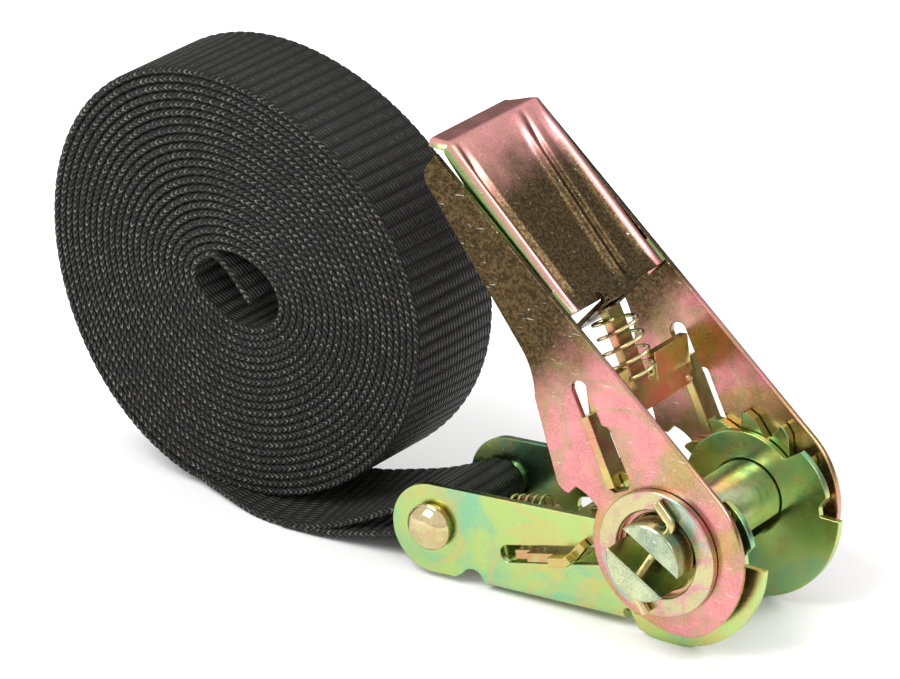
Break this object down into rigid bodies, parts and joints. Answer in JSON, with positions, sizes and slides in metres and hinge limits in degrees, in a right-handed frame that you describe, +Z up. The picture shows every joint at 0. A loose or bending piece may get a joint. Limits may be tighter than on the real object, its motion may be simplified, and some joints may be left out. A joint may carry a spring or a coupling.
{
  "type": "ratchet strap",
  "caption": "Stamped-steel ratchet with slotted mandrel, lever handle and two sprung pawls, and a roll of flat webbing anchored to its frame.",
  "frame": {"origin": "middle of the mandrel's axis, halfway between the frame plates", "axes": "+X towards the frame's nose, away from the strap; +Y along the mandrel to the far side; +Z up from the floor that the frame's lobes and the strap lie on"},
  "size_m": [0.1861, 0.0544, 0.0982],
  "materials": {
    "frame_plate": "yellow zinc chromate, iridescent",
    "handle_plate": "yellow zinc chromate, iridescent",
    "gear_plate": "yellow zinc chromate, iridescent",
    "pawl_plate": "yellow zinc chromate, iridescent",
    "washer": "yellow zinc chromate, iridescent",
    "rivet": "yellow zinc chromate, iridescent",
    "spindle": "yellow zinc chromate, iridescent",
    "spring_wire": "yellow zinc chromate, iridescent",
    "webbing": "ribbed polyester webbing, black"
  },
  "bodies": {
    "frame": {"base_frame": "frame_plate", "anchor_rivet": "rivet", "anchor_collar_near": "washer", "anchor_collar_far": "washer", "anchor_sleeve": "spindle", "lock_pawl_spring": "spring_wire"},
    "handle": {"handle": "handle_plate", "drive_pawl_spring": "spring_wire"},
    "spool": {"mandrel_half_upper": "spindle", "mandrel_half_lower": "spindle", "gear_near": "gear_plate", "gear_far": "gear_plate", "retaining_washer_near": "washer", "retaining_washer_far": "washer", "cotter_near": "rivet", "cotter_far": "rivet"},
    "drive_pawl": {"drive_pawl": "pawl_plate"},
    "lock_pawl": {"lock_pawl": "pawl_plate"},
    "strap": {"strap_roll": "webbing", "strap_lead": "webbing"}
  },
  "joints": [
    {"name": "handle_swing", "type": "hinge", "parent": "frame", "child": "handle", "pos_m": [0, 0, 0], "axis": [0, -1, 0], "range_deg": [-120, 12]},
    {"name": "spool_spin", "type": "hinge", "parent": "handle", "child": "spool", "pos_m": [0, 0, 0], "axis": [0, -1, 0], "continuous": true},
    {"name": "drive_pawl_slide", "type": "slide", "parent": "handle", "child": "drive_pawl", "axis": [-0.4274, 0, 0.9041], "range_m": [0, 0.0034], "stiffness_N_per_m": 400, "springref_m": -0.004, "deforming": ["drive_pawl_spring"]},
    {"name": "lock_pawl_slide", "type": "slide", "parent": "frame", "child": "lock_pawl", "axis": [-0.9755, 0, -0.2198], "range_m": [-0.0028, 0.0006], "deforming": ["lock_pawl_spring"]},
    {"name": "strap_swivel", "type": "hinge", "parent": "frame", "child": "strap", "pos_m": [-0.05802, 0, -0.00993], "axis": [0, -1, 0], "range_deg": [-8, 25]}
  ]
}
